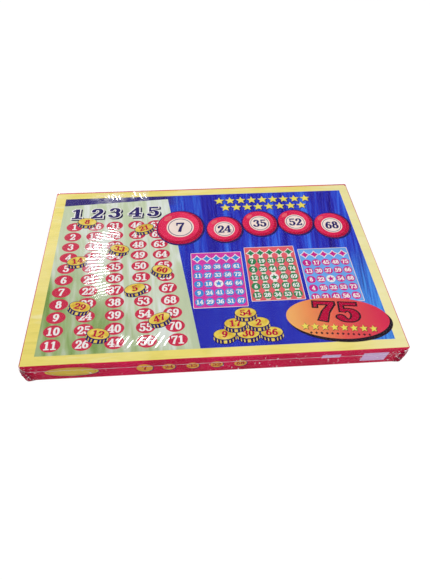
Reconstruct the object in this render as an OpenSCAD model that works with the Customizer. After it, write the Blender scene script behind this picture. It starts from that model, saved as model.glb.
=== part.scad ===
// Boxed number game: a wrapped greyboard tray and lid in a slit shrink film. The tray holds a folded
// insert, a caller's board, three banded stacks of number cards, a cloth bag of tokens and a leaflet.
// Millimetres, +Z up, origin on the table under the middle of the box, front of the box towards -Y.

/* [Box] */
// Outside width of the closed box, left to right
box_w = 400; // [385:1:415]
// Outside depth of the closed box, front to back
box_d = 262; // [252:1:275]
// Height of the closed box above the table
box_h = 31; // [30:0.5:36]
// Radius of the upright corners of lid and tray
corner_r = 1.8; // [1.4:0.1:3]
// Radius of the paper's fold round the edge of the lid's top
edge_r = 0.9; // [0.6:0.1:1.2]
// Sliding gap between the lid's inside and the tray's outside, on each side
lid_gap = 0.8; // [0.5:0.1:1.2]
// Height of the lid's rim above the table
rim_lift = 0.7; // [0.4:0.1:2]

/* [Board and paper] */
// Thickness of the greyboard of lid and tray
board_t = 1.5; // [1.2:0.1:1.8]
// Thickness of the printed wrapping paper
wrap_t = 0.15; // [0.1:0.01:0.2]
// Thickness of the paper tape that closes each upright corner
stay_t = 0.1; // [0.06:0.01:0.15]
// Length of the tape on each side of a corner
stay_leg = 18; // [12:1:25]
// Height of the paper turned in over a rim
hem_h = 12; // [8:1:16]
// Width of the wrapping paper turned under the tray
turn_under = 15; // [10:1:20]

/* [Shrink film] */
// Thickness of the shrink film
film_t = 0.05; // [0.03:0.01:0.1]
// Gap between the film and the lid's sides
film_gap = 0.3; // [0.3:0.05:0.6]
// Height of the film's weld seam above the table
seam_h = 21; // [16:0.5:24]
// Width of the slit that parts the film under its seam
slit_gap = 0.3; // [0.2:0.1:0.6]
// How far the weld bead stands out of the film
bead_t = 0.3; // [0.2:0.05:0.5]
// Height of the weld bead
bead_h = 0.8; // [0.5:0.1:1.5]

/* [Insert] */
// Thickness of the folded card of the insert and the divider
insert_t = 0.7; // [0.5:0.1:0.9]
// Gap between the insert and the tray's walls
insert_gap = 0.4; // [0.2:0.1:0.8]
// Height of the lip that keeps the caller's board on its shelf
lip_h = 2.6; // [1.5:0.1:4]
// Width of the folded lip
lip_w = 2.4; // [2:0.1:4]
// Radius of the finger notches
notch_r = 11; // [8:0.5:12]
// Height of the insert's right leg above the tray's floor
leg_h = 22; // [16:1:24]
// Width of the divider across its top
bridge_w = 12; // [9:0.5:16]
// Height of the divider above the insert's floor
bridge_h = 20; // [16:1:22]
// Width of the divider's glued feet
foot_w = 3.5; // [2.5:0.5:4]

/* [Caller's board] */
// Width of the caller's board
caller_w = 110; // [104:1:114]
// Thickness of the caller's board
caller_t = 1.5; // [1.2:0.1:2]
// Thickness of the printed sheet on the caller's board
sheet_t = 0.15; // [0.1:0.01:0.2]
// Corner radius of the caller's board
caller_r = 4; // [2:0.5:8]
// Gap round the caller's board
caller_gap = 0.8; // [0.5:0.1:1.5]
// Free height above the caller's board under the lid
headroom = 5; // [4.5:0.1:6]

/* [Cards] */
// Length of a number card, front to back
card_l = 124; // [116:1:128]
// Thickness of a number card
card_t = 0.35; // [0.3:0.01:0.38]
// Number of cards in each stack
cards_per_stack = 50; // [40:1:50]
// Corner radius of a number card
card_r = 3; // [2:0.5:6]
// Air between neighbouring cards of a stack
card_air = 0.01; // [0.01:0.01:0.03]
// Free space round each stack
card_gap = 2.4; // [2:0.1:3]
// How far a card may lie out of true in its stack
card_play = 0.3; // [0.1:0.05:0.4]
// Width of the paper band round a stack
band_w = 30; // [20:1:40]
// Thickness of the paper band
band_t = 0.15; // [0.1:0.01:0.2]

/* [Bag and tokens] */
// Height of the filled token bag
bag_h = 22; // [21.5:0.1:23]
// Thickness of the bag's cloth
cloth_t = 0.6; // [0.4:0.1:0.8]
// Free space round the bag and the leaflet
bag_gap = 3; // [2:0.5:4]
// Share of the bag's length and depth that its heap of tokens fills
heap_share = 0.6; // [0.5:0.01:0.62]
// Thickness of a numbered token
token_t = 3.4; // [3:0.1:3.5]
// Width of a token's raised rim
token_rim = 1.6; // [1:0.1:2.5]
// Depth of a token's sunk faces
token_dish = 0.4; // [0.2:0.1:0.6]
// Space between neighbouring tokens in a layer
token_space = 0.8; // [0.4:0.1:1]

/* [Leaflet] */
// Width of the folded rules leaflet
leaflet_w = 96; // [88:1:104]
// Thickness of the leaflet's paper
leaflet_t = 0.12; // [0.1:0.01:0.2]
// Air between the leaflet's folded panels
leaflet_air = 0.25; // [0.15:0.05:0.5]

/* [Hidden] */
$fn = 48;
// Overrun of every cut
over = 1;

// Lid: paper and tape lie outside the board, and the paper's hem inside it
skin = wrap_t + stay_t;
lid_board_w = box_w - 2 * skin;
lid_board_d = box_d - 2 * skin;
lid_in_w = lid_board_w - 2 * board_t;
lid_in_d = lid_board_d - 2 * board_t;
lid_hem_w = lid_in_w - 2 * wrap_t;
lid_hem_d = lid_in_d - 2 * wrap_t;
lid_board_r = corner_r - skin;
lid_board_edge = edge_r - skin;
lid_board_top = box_h - skin;
lid_roof = lid_board_top - board_t;
lid_board_rim = rim_lift + wrap_t;

// Tray: slides in the lid's hem and carries the lid's roof on its rim
tray_w = lid_hem_w - 2 * lid_gap;
tray_d = lid_hem_d - 2 * lid_gap;
tray_board_w = tray_w - 2 * skin;
tray_board_d = tray_d - 2 * skin;
tray_in_w = tray_board_w - 2 * board_t;
tray_in_d = tray_board_d - 2 * board_t;
tray_hem_w = tray_in_w - 2 * wrap_t;
tray_hem_d = tray_in_d - 2 * wrap_t;
tray_board_r = corner_r - skin;
tray_base = film_t;
tray_board_base = tray_base + wrap_t;
tray_floor = tray_board_base + board_t;
tray_rim = lid_roof;
tray_board_rim = tray_rim - wrap_t;

// Film: its inside faces stand off the lid's sides and lie on its top
film_in_w = box_w + 2 * film_gap;
film_in_d = box_d + 2 * film_gap;
film_in_r = corner_r + film_gap;
film_w = film_in_w + 2 * film_t;
film_d = film_in_d + 2 * film_t;
film_r = film_in_r + film_t;
film_edge = edge_r + film_t;
film_top = box_h + film_t;

// Insert: a shelf card on the left, and a liner on the floor to the right of it
insert_w = tray_hem_w - 2 * insert_gap;
insert_d = tray_hem_d - 2 * insert_gap;
insert_left = -insert_w / 2;
insert_right = insert_w / 2;
caller_top = lid_roof - headroom;
shelf_z = caller_top - caller_t - sheet_t;
lip_x = insert_left + caller_w + 2 * caller_gap;
lip_z = shelf_z + lip_h;
insert_floor = tray_floor + insert_t;
leg_z = tray_floor + leg_h;
caller_l = insert_d - 2 * caller_gap;
caller_x = insert_left + caller_gap + caller_w / 2;

// Card well: behind the divider, to the right of the lip
well_left = lip_x + lip_w;
well_right = insert_right - insert_t;
well_w = well_right - well_left;
well_back = insert_d / 2;
stacks = 3;
card_w = (well_w - (stacks + 1) * card_gap) / stacks;
card_y = well_back - card_gap - card_l / 2;
stack_base = insert_floor + band_t;
card_step = card_t + card_air;
stack_h = cards_per_stack * card_step;
stack_step_x = 77;
stack_step_y = 131;
band_in_w = card_w + 4 * card_play;
band_in_h = stack_h + band_t;

// Divider: an upturned U across the well, with its feet turned in
bridge_back = card_y - card_l / 2 - card_gap;
bridge_front = bridge_back - bridge_w;
bridge_y = (bridge_back + bridge_front) / 2;
bridge_l = well_w - 2 * insert_gap;
bridge_x = (well_left + well_right) / 2;
bridge_top = insert_floor + bridge_h;

// Bag and leaflet: in front of the divider
front_edge = -insert_d / 2;
front_d = bridge_front - front_edge;
bag_l = well_w - leaflet_w - 3 * bag_gap;
bag_d = front_d - 2 * bag_gap;
bag_x = well_left + bag_gap + bag_l / 2;
bag_y = front_edge + bag_gap + bag_d / 2;
// The bag's plan and crown are rounded by this power, and its seam lies at a share of its height
bag_power = 4.5;
bag_seam_share = 0.35;
bag_cells_x = 18;
bag_cells_y = 12;
token_columns = 5;
token_rows = 3;
token_layers = 5;
token_air = card_air;
token_pitch = min(heap_share * bag_l / token_columns, heap_share * bag_d / token_rows);
token_d = token_pitch - token_space;
token_base = insert_floor + 2 * cloth_t;
leaflet_x = well_right - bag_gap - leaflet_w / 2;
leaflet_d = bag_d;
leaflet_step = leaflet_t + leaflet_air;
leaflet_panels = 3;

// A rectangle about the origin with round corners of radius r, or square ones where r is 0
module rounded_rect(w, d, r = 0) {
    if (r > 0) {
        square([w - 2 * r, d], center = true);
        square([w, d - 2 * r], center = true);
        for (sx = [-1, 1], sy = [-1, 1])
            translate([sx * (w / 2 - r), sy * (d / 2 - r)])
                circle(r);
    } else {
        square([w, d], center = true);
    }
}

// An upright block from z0 to z1
module prism(w, d, z0, z1, r = 0) {
    translate([0, 0, z0])
        linear_extrude(z1 - z0)
            rounded_rect(w, d, r);
}

// A wall of thickness t inside the outline w by d, square inside
module wall_ring(w, d, z0, z1, t, r = 0, r_in = 0) {
    difference() {
        prism(w, d, z0, z1, r);
        prism(w - 2 * t, d - 2 * t, z0 - over, z1 + over, r_in);
    }
}

// Section of a block of half width x from its middle, with its top corner rounded
module half_section(x, z0, z1, edge) {
    translate([0, z0])
        square([x, z1 - z0 - edge]);
    translate([0, z0])
        square([x - edge, z1 - z0]);
    translate([x - edge, z1 - edge])
        circle(edge);
}

// A block with upright corners of radius r and its top edges rounded by edge
module capped_block(w, d, z0, z1, r, edge) {
    for (side = [0, 1])
        mirror([0, side, 0])
            rotate([90, 0, 90])
                translate([0, 0, r - w / 2])
                    linear_extrude(w - 2 * r)
                        half_section(d / 2, z0, z1, edge);
    for (side = [0, 1])
        mirror([side, 0, 0])
            rotate([90, 0, 0])
                translate([0, 0, r - d / 2])
                    linear_extrude(d - 2 * r)
                        half_section(w / 2, z0, z1, edge);
    for (sx = [0, 1], sy = [0, 1])
        mirror([sx, 0, 0])
            mirror([0, sy, 0])
                translate([w / 2 - r, d / 2 - r, 0])
                    rotate_extrude(angle = 90)
                        half_section(r, z0, z1, edge);
}

// Paper tapes round the four upright corners of a board of outline w by d
module corner_stays(w, d, z0, z1, r) {
    reach = stay_leg + stay_t;
    intersection() {
        difference() {
            prism(w + 2 * stay_t, d + 2 * stay_t, z0, z1, r + stay_t);
            prism(w, d, z0 - over, z1 + over, r);
        }
        for (sx = [0, 1], sy = [0, 1])
            mirror([sx, 0, 0])
                mirror([0, sy, 0])
                    translate([w / 2 + stay_t - reach, d / 2 + stay_t - reach, z0 - over])
                        cube([reach + over, reach + over, z1 - z0 + 2 * over]);
    }
}

// A sheet from corner a to corner b of an upright section
module strip(a, b) {
    translate(a)
        square(b - a);
}

module lid_board() {
    color("tan")
        difference() {
            capped_block(lid_board_w, lid_board_d, lid_board_rim, lid_board_top, lid_board_r, lid_board_edge);
            prism(lid_in_w, lid_in_d, lid_board_rim - over, lid_roof);
        }
}

module lid_wrap() {
    color("crimson") {
        difference() {
            capped_block(box_w, box_d, rim_lift, box_h, corner_r, edge_r);
            capped_block(box_w - 2 * wrap_t, box_d - 2 * wrap_t, rim_lift - over, box_h - wrap_t,
                         corner_r - wrap_t, edge_r - wrap_t);
        }
        difference() {
            prism(box_w - wrap_t, box_d - wrap_t, rim_lift, lid_board_rim, corner_r - wrap_t / 2);
            prism(lid_hem_w, lid_hem_d, rim_lift - over, lid_board_rim + over);
        }
        wall_ring(lid_in_w, lid_in_d, rim_lift, rim_lift + hem_h, wrap_t);
    }
}

module lid_corner_stays() {
    color("burlywood")
        corner_stays(lid_board_w, lid_board_d, lid_board_rim, lid_board_top - edge_r, lid_board_r);
}

module film_upper() {
    color("lightcyan", 0.35) {
        difference() {
            capped_block(film_w, film_d, seam_h, film_top, film_r, film_edge);
            capped_block(film_in_w, film_in_d, seam_h - over, box_h, film_in_r, edge_r);
        }
        difference() {
            prism(film_w + 2 * bead_t, film_d + 2 * bead_t, seam_h, seam_h + bead_h, film_r + bead_t);
            prism(film_w - film_t, film_d - film_t, seam_h - over, seam_h + bead_h + over, film_r - film_t / 2);
        }
    }
}

module film_lower() {
    color("lightcyan", 0.35)
        difference() {
            prism(film_w, film_d, 0, seam_h - slit_gap, film_r);
            prism(film_in_w, film_in_d, film_t, seam_h, film_in_r);
        }
}

module tray_board() {
    color("tan")
        difference() {
            prism(tray_board_w, tray_board_d, tray_board_base, tray_board_rim, tray_board_r);
            prism(tray_in_w, tray_in_d, tray_floor, tray_board_rim + over);
        }
}

module tray_wrap() {
    color("crimson") {
        wall_ring(tray_w, tray_d, tray_base, tray_rim, wrap_t, corner_r, corner_r - wrap_t);
        wall_ring(tray_w - wrap_t, tray_d - wrap_t, tray_base, tray_board_base, turn_under, corner_r - wrap_t / 2);
        difference() {
            prism(tray_w - wrap_t, tray_d - wrap_t, tray_board_rim, tray_rim, corner_r - wrap_t / 2);
            prism(tray_hem_w, tray_hem_d, tray_board_rim - over, tray_rim + over);
        }
        wall_ring(tray_in_w, tray_in_d, tray_rim - hem_h, tray_rim, wrap_t);
    }
}

module tray_corner_stays() {
    color("burlywood")
        corner_stays(tray_board_w, tray_board_d, tray_board_base, tray_board_rim, tray_board_r);
}

// One card: a leg, the shelf, a lip folded up and over, and a wall down to the tray's floor
module shelf_card() {
    color("gainsboro")
        difference() {
            rotate([90, 0, 0])
                linear_extrude(insert_d, center = true) {
                    strip([insert_left, tray_floor], [insert_left + insert_t, shelf_z]);
                    strip([insert_left, shelf_z - insert_t], [lip_x + insert_t, shelf_z]);
                    strip([lip_x, shelf_z - insert_t], [lip_x + insert_t, lip_z]);
                    strip([lip_x, lip_z - insert_t], [well_left, lip_z]);
                    strip([well_left - insert_t, tray_floor], [well_left, lip_z]);
                }
            for (y = [card_y, bag_y])
                translate([lip_x - over, y, lip_z])
                    rotate([0, 90, 0])
                        cylinder(r = notch_r, h = lip_w + 2 * over);
            translate([caller_x, front_edge, shelf_z - insert_t - over])
                cylinder(r = notch_r, h = insert_t + 2 * over);
        }
}

// The card on the floor of the well, with a leg up the tray's right wall
module well_liner() {
    color("gainsboro")
        rotate([90, 0, 0])
            linear_extrude(insert_d, center = true) {
                strip([well_left + insert_gap, tray_floor], [insert_right, insert_floor]);
                strip([well_right, tray_floor], [insert_right, leg_z]);
            }
}

// An upturned U of folded card with a finger notch in front of each stack
module divider_bridge() {
    color("gainsboro")
        difference() {
            translate([bridge_x, bridge_y, 0])
                rotate([90, 0, 90])
                    linear_extrude(bridge_l, center = true)
                        for (side = [0, 1])
                            mirror([side, 0]) {
                                strip([0, bridge_top - insert_t], [bridge_w / 2, bridge_top]);
                                strip([bridge_w / 2 - insert_t, insert_floor], [bridge_w / 2, bridge_top]);
                                strip([bridge_w / 2 - foot_w, insert_floor],
                                      [bridge_w / 2, insert_floor + insert_t]);
                            }
            for (i = [0 : stacks - 1])
                translate([stack_x(i), bridge_front - over, bridge_top])
                    rotate([-90, 0, 0])
                        cylinder(r = notch_r, h = bridge_w + 2 * over);
        }
}

module caller_board() {
    color("tan")
        translate([caller_x, 0, 0])
            prism(caller_w, caller_l, shelf_z, shelf_z + caller_t, caller_r);
}

module caller_sheet() {
    color("yellowgreen")
        translate([caller_x, 0, 0])
            prism(caller_w, caller_l, shelf_z + caller_t, caller_top, caller_r);
}

// Middle of a card stack, counted from the left
function stack_x(i) = well_left + card_gap + card_w / 2 + i * (card_w + card_gap);

// Fifty cards, each laid a little out of true
module card_stack(i) {
    for (k = [0 : cards_per_stack - 1])
        translate([stack_x(i) + card_play * sin(stack_step_x * (k + i)),
                   card_y + card_play * sin(stack_step_y * (k + i)), 0])
            prism(card_w, card_l, stack_base + k * card_step, stack_base + k * card_step + card_t, card_r);
}

module cards_magenta() {
    color("orchid")
        card_stack(0);
}

module cards_red() {
    color("lightcoral")
        card_stack(1);
}

module cards_blue() {
    color("dodgerblue")
        card_stack(2);
}

// A closed paper loop round the middle of each stack
module card_bands() {
    color("white")
        for (i = [0 : stacks - 1])
            translate([stack_x(i), card_y, insert_floor])
                rotate([90, 0, 0])
                    linear_extrude(band_w, center = true)
                        difference() {
                            strip([-band_in_w / 2 - band_t, 0], [band_in_w / 2 + band_t, band_in_h + band_t]);
                            strip([-band_in_w / 2, band_t], [band_in_w / 2, band_in_h]);
                        }
}

// Share of the bag's full height at a place given as shares, -1 to 1, of its half width and half depth
function crown_share(u, v) =
    pow((1 - pow(abs(u), bag_power)) * (1 - pow(abs(v), bag_power)), 1 / bag_power);

// One face of the bag: its crown where up is true, and its underside where it isn't
function bag_face(l, d, low, high, seam, up) =
    [for (j = [0 : bag_cells_y], i = [0 : bag_cells_x])
        let (u = -cos(180 * i / bag_cells_x), v = -cos(180 * j / bag_cells_y), f = crown_share(u, v))
            [u * l / 2, v * d / 2, seam + (up ? high - seam : low - seam) * f]];

// A pillow of l by d between the heights low and high, whose sides meet at the height seam
module pillow(l, d, low, high, seam) {
    row = bag_cells_x + 1;
    count = row * (bag_cells_y + 1);
    cells = [for (j = [0 : bag_cells_y - 1], i = [0 : bag_cells_x - 1]) [i, j]];
    // The rim points of the underside are those of the crown
    function on_rim(n) = n % row == 0 || n % row == row - 1 || n < row || n >= count - row;
    function under(n) = on_rim(n) ? n : n + count;
    // Each cell is cut along the diagonal that runs towards the pillow's nearest corner
    function halves(n, outward) =
        outward ? [[n, n + row, n + row + 1], [n, n + row + 1, n + 1]]
                : [[n, n + row, n + 1], [n + row, n + row + 1, n + 1]];
    crown = [for (c = cells)
                 each halves(c[1] * row + c[0], (c[0] < bag_cells_x / 2) == (c[1] < bag_cells_y / 2))];
    polyhedron(
        points = concat(bag_face(l, d, low, high, seam, true), bag_face(l, d, low, high, seam, false)),
        faces = concat(crown, [for (f = crown) [under(f[2]), under(f[1]), under(f[0])]])
    );
}

module token_bag() {
    seam = bag_h * bag_seam_share;
    color("firebrick")
        translate([bag_x, bag_y, insert_floor])
            difference() {
                pillow(bag_l, bag_d, 0, bag_h, seam);
                pillow(bag_l - 4 * cloth_t, bag_d - 4 * cloth_t, cloth_t, bag_h - cloth_t, seam);
            }
}

// A disc with a raised rim on both faces
module token() {
    difference() {
        cylinder(d = token_d, h = token_t);
        translate([0, 0, token_t - token_dish])
            cylinder(d = token_d - 2 * token_rim, h = token_dish + over);
        translate([0, 0, -over])
            cylinder(d = token_d - 2 * token_rim, h = token_dish + over);
    }
}

module number_tokens() {
    color("gold")
        for (i = [0 : token_columns - 1], j = [0 : token_rows - 1], k = [0 : token_layers - 1])
            translate([bag_x + (i - (token_columns - 1) / 2) * token_pitch,
                       bag_y + (j - (token_rows - 1) / 2) * token_pitch,
                       token_base + k * (token_t + token_air)])
                token();
}

// One sheet folded in three, its panels joined at alternate edges
module rules_leaflet() {
    color("ivory")
        translate([leaflet_x, bag_y, insert_floor])
            rotate([90, 0, 0])
                linear_extrude(leaflet_d, center = true) {
                    for (k = [0 : leaflet_panels - 1])
                        strip([-leaflet_w / 2, k * leaflet_step],
                              [leaflet_w / 2, k * leaflet_step + leaflet_t]);
                    strip([leaflet_w / 2 - leaflet_t, 0], [leaflet_w / 2, leaflet_step + leaflet_t]);
                    strip([-leaflet_w / 2, leaflet_step], [leaflet_t - leaflet_w / 2, 2 * leaflet_step + leaflet_t]);
                }
}

lid_board();
lid_wrap();
lid_corner_stays();
film_upper();
tray_board();
tray_wrap();
tray_corner_stays();
film_lower();
shelf_card();
well_liner();
divider_bridge();
caller_board();
caller_sheet();
cards_magenta();
cards_red();
cards_blue();
card_bands();
token_bag();
number_tokens();
rules_leaflet();
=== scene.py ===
"""A boxed number game in slit shrink film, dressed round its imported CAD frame.
Shapes are written in millimetres in the row frame and stored in metres."""
import math

import bpy
from mathutils import Matrix, Vector, noise
from mathutils.geometry import delaunay_2d_cdt, tessellate_polygon


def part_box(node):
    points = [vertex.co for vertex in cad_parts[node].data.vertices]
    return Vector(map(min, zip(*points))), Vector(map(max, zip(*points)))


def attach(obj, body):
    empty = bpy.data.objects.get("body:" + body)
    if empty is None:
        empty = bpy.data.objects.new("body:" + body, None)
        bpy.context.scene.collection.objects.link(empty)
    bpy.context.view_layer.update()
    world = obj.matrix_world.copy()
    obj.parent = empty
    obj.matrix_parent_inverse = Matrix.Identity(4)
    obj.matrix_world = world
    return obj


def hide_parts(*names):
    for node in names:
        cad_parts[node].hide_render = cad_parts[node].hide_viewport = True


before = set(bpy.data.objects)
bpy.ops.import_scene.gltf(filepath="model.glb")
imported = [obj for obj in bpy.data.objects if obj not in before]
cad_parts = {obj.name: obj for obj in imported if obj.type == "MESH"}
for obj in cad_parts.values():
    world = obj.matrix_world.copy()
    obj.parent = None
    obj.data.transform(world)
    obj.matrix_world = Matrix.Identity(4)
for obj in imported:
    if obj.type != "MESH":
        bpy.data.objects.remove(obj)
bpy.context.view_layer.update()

MM = 0.001
scene = bpy.context.scene


def make_camera():
    """The camera, fitted to ten points of the photo with a free optical centre. Returns where it stands."""
    azimuth, elevation, roll, away = -0.075138, 0.978548, 0.016299, 0.497057
    aside, above, focal, picture = -0.003331, -0.043416, 392.464, 580
    level = math.cos(elevation)
    back = Vector((math.sin(azimuth) * level, -math.cos(azimuth) * level, math.sin(elevation)))
    right = Vector((0, 0, 1)).cross(back).normalized()
    up = back.cross(right)
    r = right * math.cos(roll) + up * math.sin(roll)
    u = up * math.cos(roll) - right * math.sin(roll)
    place = r * aside + u * above + back * away
    cam = bpy.data.objects.new("camera", bpy.data.cameras.new("camera"))
    cam.data.sensor_fit, cam.data.sensor_width = "AUTO", 36
    cam.data.lens = cam.data.sensor_width * focal / picture
    cam.data.shift_x, cam.data.shift_y = 0.01422, 0.0354
    cam.data.clip_start = 0.01
    cam.matrix_world = Matrix.Translation(place) @ Matrix((r, u, back)).transposed().to_4x4()
    scene.collection.objects.link(cam)
    scene.camera = cam
    return place


eye = make_camera()
scene.view_settings.view_transform = "Standard"


def span(node):
    """Lowest and highest corner of a CAD node, in mm."""
    return [[v / MM for v in corner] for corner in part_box(node)]


def plan(node):
    """A CAD node from above: its middle, width, depth and top, in mm."""
    (x0, y0, _), (x1, y1, top) = span(node)
    return (x0 + x1) / 2, (y0 + y1) / 2, x1 - x0, y1 - y0, top


_, _, WIDTH, DEPTH, TOP = plan("lid_wrap")
# The printed field inside its yellow border
LEFT, RIGHT, FRONT, BACK = -WIDTH / 2 + 13.9, WIDTH / 2 - 12.4, -DEPTH / 2 + 11.5, DEPTH / 2 - 13.3

# Materials

# Under the film the ink shows next to no gloss of its own
INK_SHINE = 0.012
WHITE = (1, 1, 1, 1)


def srgb(colour):
    """Linear colour of an 8-bit display colour."""
    def one(v):
        v /= 255
        return v / 12.92 if v <= 0.04045 else ((v + 0.055) / 1.055) ** 2.4
    return *map(one, colour), 1.0


def sum_of(operation, swapped=False):
    """An operator of Value that adds a Math node."""
    def operator(self, other=0.0):
        return self.math(operation, *((other, self) if swapped else (self, other)))
    return operator


class Value:
    """A shader node's output, which takes part in sums."""
    __add__, __sub__, __rsub__ = sum_of("ADD"), sum_of("SUBTRACT"), sum_of("SUBTRACT", swapped=True)
    __mul__, __truediv__ = sum_of("MULTIPLY"), sum_of("DIVIDE")
    __pow__, __abs__ = sum_of("POWER"), sum_of("ABSOLUTE")

    def __init__(self, shader, socket):
        self.math, self.socket = shader.math, socket


class Shader:
    """Writes a node tree. A colour of three numbers is an 8-bit display colour."""

    def __init__(self, name, home=bpy.data.materials, output="OutputMaterial"):
        self.mat = home.new(name)
        self.mat.use_nodes = True
        self.tree = self.mat.node_tree
        self.tree.nodes.clear()
        self.out = self.tree.nodes.new("ShaderNode" + output).inputs[0]
        self.coord = None

    def put(self, socket, value):
        if isinstance(value, Value):
            self.tree.links.new(value.socket, socket)
        elif socket.type == "RGBA" and len(value) == 3:
            socket.default_value = srgb(value)
        else:
            socket.default_value = value

    def node(self, kind, out=0, props=(), **values):
        n = self.tree.nodes.new("ShaderNode" + kind)
        for key, v in dict(props).items():
            setattr(n, key, v)
        for key, v in values.items():
            self.put(n.inputs[int(key[1:]) if key[1:].isdigit() else key.replace("_", " ")], v)
        return Value(self, n.outputs[out])

    def math(self, op, a, b=0.0, clamp=False):
        return self.node("Math", props={"operation": op, "use_clamp": clamp}, i0=a, i1=b)

    def most(self, a, b):
        return self.math("MAXIMUM", a, b)

    def least(self, a, b):
        return self.math("MINIMUM", a, b)

    def place(self):
        """Where a point is in its object, in m."""
        self.coord = self.coord or self.node("TexCoord", out="Object")
        return self.coord

    def axes(self):
        return [self.node("SeparateXYZ", out=k, i0=self.place()) for k in range(3)]

    def scaled(self, x, y, z, turn=0.0):
        return self.node("Mapping", Vector=self.place(), Rotation=(0, 0, turn), Scale=(x, y, z))

    def noise(self, scale, detail=3.0, rough=0.55, vector=None, distort=0.0):
        return self.node("TexNoise", Vector=vector or self.place(), Scale=scale, Detail=detail,
                         Roughness=rough, Distortion=distort)

    def ramp(self, fac, *stops):
        """A colour ramp. A stop's colour may be one number, for a grey."""
        out = self.node("ValToRGB", Fac=fac)
        elements = out.socket.node.color_ramp.elements
        while len(elements) < len(stops):
            elements.new(0.5)
        for e, (at, colour) in zip(elements, stops):
            e.position = at
            e.color = srgb(colour) if isinstance(colour, tuple) else (colour, colour, colour, 1)
        return out

    def mix(self, fac, a, b, blend="MIX"):
        n = self.tree.nodes.new("ShaderNodeMix")
        n.data_type, n.blend_type = "RGBA", blend
        for k, value in ((0, fac), (6, a), (7, b)):
            self.put(n.inputs[k], value)
        return Value(self, n.outputs[2])

    def shade(self, colour, fac, *stops):
        """The colour times a ramp of greys."""
        return self.mix(1.0, colour, self.ramp(fac, *stops), "MULTIPLY")

    def step(self, value, low, high):
        """0 below low, 1 above high, smooth between."""
        return self.node("MapRange", props={"interpolation_type": "SMOOTHSTEP"},
                         Value=value, i1=low, i2=high, i3=0.0, i4=1.0)

    def bump(self, height, strength, distance):
        return self.node("Bump", Strength=strength, Distance=distance, Height=height)

    def rise(self):
        """The upward part of the surface's normal."""
        return self.node("SeparateXYZ", out=2, i0=self.node("NewGeometry", out="Normal"))

    def inset(self):
        """Distance in from the box's sides, in m; it goes negative outside them."""
        x, y, _ = self.axes()
        return self.least(WIDTH / 2 * MM - abs(x), DEPTH / 2 * MM - abs(y))

    def ray(self, kind):
        return self.node("LightPath", out=f"Is {kind} Ray")

    def seen(self):
        """1 for rays from the camera, also by way of a mirror or glass."""
        return self.most(self.most(self.ray("Camera"), self.ray("Glossy")), self.ray("Transmission"))

    def blend(self, fac, a, b):
        return self.node("MixShader", Fac=fac, i1=a, i2=b)

    def finish(self, surface):
        self.put(self.out, surface)
        return self.mat

    def surface(self, colour, rough, normal, specular, **more):
        return self.finish(self.node("BsdfPrincipled", Base_Color=colour, Roughness=rough, Normal=normal,
                                     Specular_IOR_Level=specular, **more))

    def ink(self, colour, rough=0.4, shine=INK_SHINE):
        """Ink on varnished paper, with the paper's grain."""
        grain = self.noise(2600, 2) + self.noise(140, 3) * 1.5
        return self.surface(colour, rough, self.bump(grain, 0.25, 0.00006), shine)


def printed(name, colour, vary=0.06, rough=0.42, scale=60, worn=0.0):
    """Printed ink with uneven density, fine screen grain and, where worn, paler scuffs."""
    s = Shader(name)
    col = s.shade(colour, s.noise(scale, 4), (0.3, 1 - vary), (0.72, 1 + vary))
    col = s.shade(col, s.noise(3800, 2), (0.35, 0.965), (0.65, 1.03))
    if worn:
        scuff = s.step(s.noise(420, 5, 0.75), 0.66, 0.8)
        col = s.mix(scuff * worn, col, (236, 232, 222))
    return s.ink(col, s.noise(90, 3) * 0.16 + (rough - 0.08))


def greyboard():
    s = Shader("greyboard")
    fibre = s.noise(900, 5, 0.7, s.scaled(1, 0.35, 1), 0.6)
    col = s.ramp(fibre, (0.3, (150, 140, 120)), (0.55, (176, 166, 144)), (0.8, (196, 188, 168)))
    col = s.shade(col, s.noise(70, 4), (0.3, 0.9), (0.7, 1.06))
    fleck_and_glint = s.step(s.noise(1500, 2, 0.5, s.scaled(1, 0.5, 1)), 0.7, 0.76)
    return s.surface(s.mix(fleck_and_glint * 0.6, col, (92, 88, 96)), 0.92, s.bump(fibre, 0.5, 0.00015), 0.15)


def tape():
    s = Shader("corner_tape")
    fibre = s.noise(1400, 4, 0.6, s.scaled(1, 1, 0.25))
    col = s.ramp(fibre, (0.3, (176, 142, 98)), (0.7, (208, 178, 134)))
    return s.surface(col, 0.7, s.bump(fibre, 0.3, 0.00006), 0.2)


def white_card(name, tone=(236, 234, 228)):
    s = Shader(name)
    fibre = s.noise(1100, 4, 0.65, s.scaled(0.4, 1, 1))
    speck = s.step(s.noise(2100, 2), 0.72, 0.78)
    col = s.mix(speck * 0.25, s.shade(tone, fibre, (0.3, 0.94), (0.7, 1.02)), (176, 170, 158))
    return s.surface(col, 0.75, s.bump(fibre, 0.3, 0.00008), 0.22)


def cut_stack(name, edge, face):
    """A stack of printed cards: coloured faces, pale cut edges with thin lines of ink."""
    s = Shader(name)
    layers = s.noise(1, 2, 0.5, s.scaled(60, 60, 5200))
    edges = s.mix(s.ramp(layers, (0.4, 0.0), (0.62, 0.55)), edge, face)
    faces = s.shade(face, s.noise(80, 4), (0.3, 0.93), (0.7, 1.05))
    return s.ink(s.mix(s.step(abs(s.rise()), 0.4, 0.6), edges, faces), 0.5, 0.25)


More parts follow.
